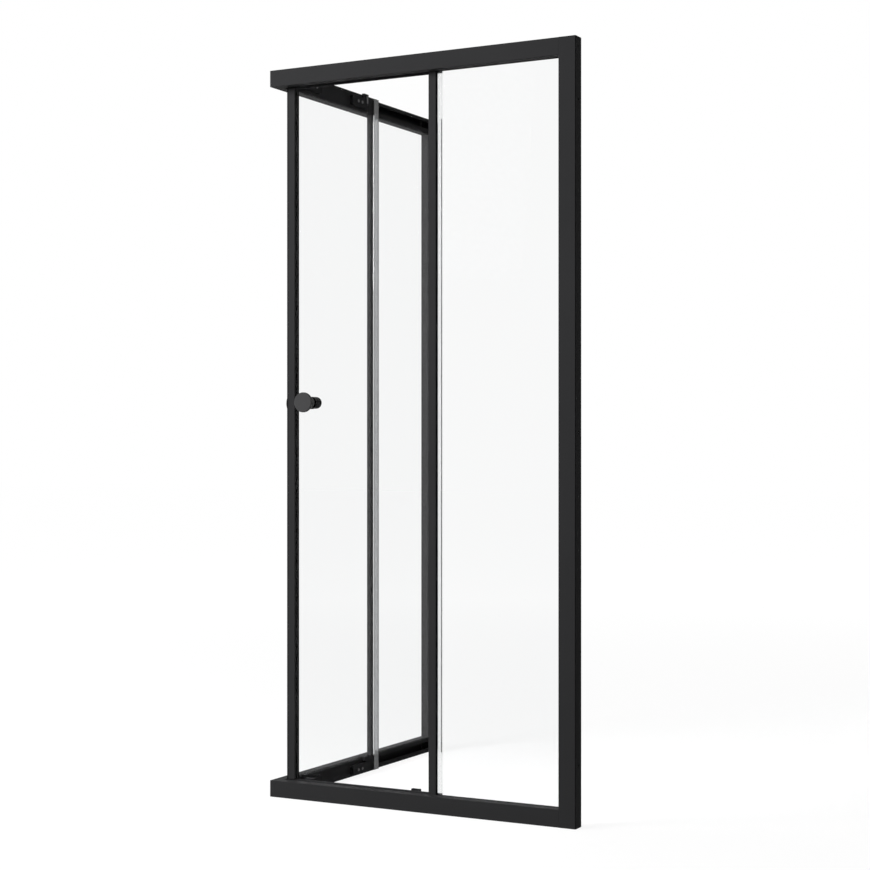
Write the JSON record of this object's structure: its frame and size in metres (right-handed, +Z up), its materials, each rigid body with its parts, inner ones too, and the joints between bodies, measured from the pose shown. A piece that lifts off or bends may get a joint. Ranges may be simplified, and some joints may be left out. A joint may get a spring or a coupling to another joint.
{
  "type": "corner entry shower door",
  "caption": "Square corner entry shower enclosure: a fixed glass pane and a sliding glass door on each side, meeting at the corner in a black frame.",
  "frame": {"origin": "middle of the square footprint, on the shower tray", "axes": "+Z up; side A's outer face looks to -Y and its door opens towards +X; side B's outer face looks to -X and its door opens towards +Y; the walls are on the +X and +Y sides"},
  "size_m": [0.87, 0.87, 1.9045],
  "materials": {
    "black_frame": "matt black powder coat, fine satin texture",
    "glass": "clear toughened glass",
    "clear_seal": "clear soft plastic",
    "black_plastic": "black moulded plastic",
    "black_rubber": "black rubber",
    "nylon": "grey nylon",
    "steel": "bare stainless steel"
  },
  "bodies": {
    "frame": {"corner_block_bottom": "black_plastic", "corner_block_top": "black_plastic", "adjusting_screws": "steel", "end_plugs": "black_plastic", "track_buffers": "black_rubber", "top_rail_a": "black_frame", "bottom_rail_a": "black_frame", "jamb_profile_a": "black_frame", "wall_profile_a": "black_frame", "fixed_glass_a": "glass", "glass_edge_bar_a": "black_frame", "glass_gaskets_a": "black_rubber", "top_rail_b": "black_frame", "bottom_rail_b": "black_frame", "jamb_profile_b": "black_frame", "wall_profile_b": "black_frame", "fixed_glass_b": "glass", "glass_edge_bar_b": "black_frame", "glass_gaskets_b": "black_rubber"},
    "door_a": {"door_glass_a": "glass", "door_stile_a": "black_frame", "magnetic_strip_a": "black_rubber", "door_top_rail_a": "black_frame", "door_bottom_rail_a": "black_frame", "trailing_seal_a": "clear_seal", "upper_housings_a": "black_plastic", "lower_housings_a": "black_plastic", "roller_screws_a": "steel", "upper_axles_a": "steel", "knob_outer_a": "black_frame", "knob_inner_a": "black_frame", "knob_washers_a": "black_rubber", "knob_screw_a": "steel"},
    "upper_wheel_lead_a": {"upper_wheel_lead_a": "nylon"},
    "lower_carrier_lead_a": {"lower_carrier_lead_a": "black_plastic"},
    "lower_wheel_lead_a": {"lower_wheel_lead_a": "nylon"},
    "upper_wheel_trail_a": {"upper_wheel_trail_a": "nylon"},
    "lower_carrier_trail_a": {"lower_carrier_trail_a": "black_plastic"},
    "lower_wheel_trail_a": {"lower_wheel_trail_a": "nylon"},
    "door_b": {"door_glass_b": "glass", "door_stile_b": "black_frame", "magnetic_strip_b": "black_rubber", "door_top_rail_b": "black_frame", "door_bottom_rail_b": "black_frame", "trailing_seal_b": "clear_seal", "upper_housings_b": "black_plastic", "lower_housings_b": "black_plastic", "roller_screws_b": "steel", "upper_axles_b": "steel", "knob_outer_b": "black_frame", "knob_inner_b": "black_frame", "knob_washers_b": "black_rubber", "knob_screw_b": "steel"},
    "upper_wheel_lead_b": {"upper_wheel_lead_b": "nylon"},
    "lower_carrier_lead_b": {"lower_carrier_lead_b": "black_plastic"},
    "lower_wheel_lead_b": {"lower_wheel_lead_b": "nylon"},
    "upper_wheel_trail_b": {"upper_wheel_trail_b": "nylon"},
    "lower_carrier_trail_b": {"lower_carrier_trail_b": "black_plastic"},
    "lower_wheel_trail_b": {"lower_wheel_trail_b": "nylon"}
  },
  "joints": [
    {"name": "door_a_slide", "type": "slide", "parent": "frame", "child": "door_a", "axis": [1, 0, 0], "range_m": [0, 0.34]},
    {"name": "upper_wheel_lead_a_spin", "type": "hinge", "parent": "door_a", "child": "upper_wheel_lead_a", "pos_m": [-0.343, -0.39975, 1.8771], "axis": [0, 1, 0], "range_deg": [0, 2790]},
    {"name": "lower_carrier_lead_a_release", "type": "slide", "parent": "door_a", "child": "lower_carrier_lead_a", "axis": [0, 0, 1], "range_m": [0, 0.004], "stiffness_N_per_m": 600, "springref_m": -0.01},
    {"name": "lower_wheel_lead_a_spin", "type": "hinge", "parent": "lower_carrier_lead_a", "child": "lower_wheel_lead_a", "pos_m": [-0.343, -0.39975, 0.0191], "axis": [0, 1, 0], "range_deg": [0, 2790]},
    {"name": "upper_wheel_trail_a_spin", "type": "hinge", "parent": "door_a", "child": "upper_wheel_trail_a", "pos_m": [-0.027, -0.39975, 1.8771], "axis": [0, 1, 0], "range_deg": [0, 2790]},
    {"name": "lower_carrier_trail_a_release", "type": "slide", "parent": "door_a", "child": "lower_carrier_trail_a", "axis": [0, 0, 1], "range_m": [0, 0.004], "stiffness_N_per_m": 600, "springref_m": -0.01},
    {"name": "lower_wheel_trail_a_spin", "type": "hinge", "parent": "lower_carrier_trail_a", "child": "lower_wheel_trail_a", "pos_m": [-0.027, -0.39975, 0.0191], "axis": [0, 1, 0], "range_deg": [0, 2790]},
    {"name": "door_b_slide", "type": "slide", "parent": "frame", "child": "door_b", "axis": [0, 1, 0], "range_m": [0, 0.34]},
    {"name": "upper_wheel_lead_b_spin", "type": "hinge", "parent": "door_b", "child": "upper_wheel_lead_b", "pos_m": [-0.39975, -0.343, 1.8771], "axis": [-1, 0, 0], "range_deg": [0, 2790]},
    {"name": "lower_carrier_lead_b_release", "type": "slide", "parent": "door_b", "child": "lower_carrier_lead_b", "axis": [0, 0, 1], "range_m": [0, 0.004], "stiffness_N_per_m": 600, "springref_m": -0.01},
    {"name": "lower_wheel_lead_b_spin", "type": "hinge", "parent": "lower_carrier_lead_b", "child": "lower_wheel_lead_b", "pos_m": [-0.39975, -0.343, 0.0191], "axis": [-1, 0, 0], "range_deg": [0, 2790]},
    {"name": "upper_wheel_trail_b_spin", "type": "hinge", "parent": "door_b", "child": "upper_wheel_trail_b", "pos_m": [-0.39975, -0.027, 1.8771], "axis": [-1, 0, 0], "range_deg": [0, 2790]},
    {"name": "lower_carrier_trail_b_release", "type": "slide", "parent": "door_b", "child": "lower_carrier_trail_b", "axis": [0, 0, 1], "range_m": [0, 0.004], "stiffness_N_per_m": 600, "springref_m": -0.01},
    {"name": "lower_wheel_trail_b_spin", "type": "hinge", "parent": "lower_carrier_trail_b", "child": "lower_wheel_trail_b", "pos_m": [-0.39975, -0.027, 0.0191], "axis": [-1, 0, 0], "range_deg": [0, 2790]}
  ],
  "couplings": [
    {"joint": "upper_wheel_lead_a_spin", "follows": "door_a_slide", "rad_per_m": 142.86},
    {"joint": "lower_wheel_lead_a_spin", "follows": "door_a_slide", "rad_per_m": 142.86},
    {"joint": "upper_wheel_trail_a_spin", "follows": "door_a_slide", "rad_per_m": 142.86},
    {"joint": "lower_wheel_trail_a_spin", "follows": "door_a_slide", "rad_per_m": 142.86},
    {"joint": "upper_wheel_lead_b_spin", "follows": "door_b_slide", "rad_per_m": 142.86},
    {"joint": "lower_wheel_lead_b_spin", "follows": "door_b_slide", "rad_per_m": 142.86},
    {"joint": "upper_wheel_trail_b_spin", "follows": "door_b_slide", "rad_per_m": 142.86},
    {"joint": "lower_wheel_trail_b_spin", "follows": "door_b_slide", "rad_per_m": 142.86}
  ]
}
